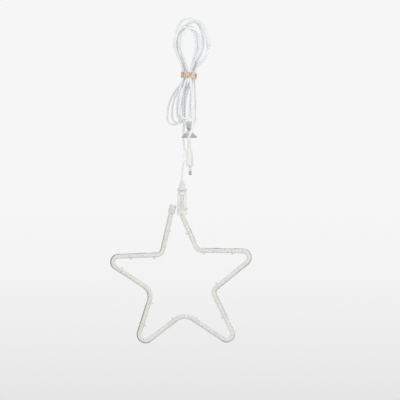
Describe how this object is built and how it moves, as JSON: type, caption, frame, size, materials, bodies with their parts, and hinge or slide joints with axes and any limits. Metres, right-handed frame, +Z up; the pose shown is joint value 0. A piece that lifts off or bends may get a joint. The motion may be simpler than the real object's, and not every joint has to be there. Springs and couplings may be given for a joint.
{
  "type": "christmas star",
  "caption": "Christmas star of clear LED rope light tied along a bent steel wire, hanging from the hank of its own white mains cord, with a flat plug and a suction cup.",
  "frame": {"origin": "underside of the lowest crown of the cord's hank, where a hook carries the whole part", "axes": "+Z up, +X to the right of the star seen from the front, the front faces -Y"},
  "size_m": [0.302, 0.0877, 0.6976],
  "materials": {
    "white_pvc": "soft white cord plastic with a satin sheen",
    "clear_pvc": "clear extruded plastic with a faint green tint",
    "cup_pvc": "clear soft moulded plastic",
    "plug_pvc": "smooth white moulded plastic",
    "steel_wire": "drawn wire, dull grey",
    "tinned_copper": "tinned stranded wire",
    "led_lens": "pale warm lens",
    "nickel": "nickel plated brass",
    "gold_foil": "gold metallised foil strip"
  },
  "bodies": {
    "hanging_star": {"bus_wire_inner": "tinned_copper", "bus_wire_outer": "tinned_copper", "connector_sleeve": "clear_pvc", "contact_pin_left": "nickel", "contact_pin_right": "nickel", "cord_grip": "white_pvc", "cord_hank": "white_pvc", "cord_lead": "white_pvc", "cord_tail": "white_pvc", "end_cap": "clear_pvc", "end_tie": "clear_pvc", "led_string": "led_lens", "pin_block": "white_pvc", "pin_sleeve_back": "plug_pvc", "pin_sleeve_front": "plug_pvc", "plug_body": "plug_pvc", "plug_pin_back": "nickel", "plug_pin_front": "nickel", "rope_gland": "clear_pvc", "rope_jacket": "clear_pvc", "rope_tie_01": "clear_pvc", "rope_tie_02": "clear_pvc", "rope_tie_03": "clear_pvc", "rope_tie_04": "clear_pvc", "rope_tie_05": "clear_pvc", "rope_tie_06": "clear_pvc", "rope_tie_07": "clear_pvc", "rope_tie_08": "clear_pvc", "rope_tie_09": "clear_pvc", "rope_tie_10": "clear_pvc", "rope_tie_11": "clear_pvc", "rope_tie_12": "clear_pvc", "rope_tie_13": "clear_pvc", "star_wire": "steel_wire", "twist_tie": "gold_foil"},
    "suction_cup": {"suction_cup": "cup_pvc"}
  },
  "joints": [
    {"name": "cup_swing", "type": "hinge", "parent": "hanging_star", "child": "suction_cup", "pos_m": [-0.0024, 0, -0.20244], "axis": [1, 0, 0], "range_deg": [-10, 10]}
  ]
}
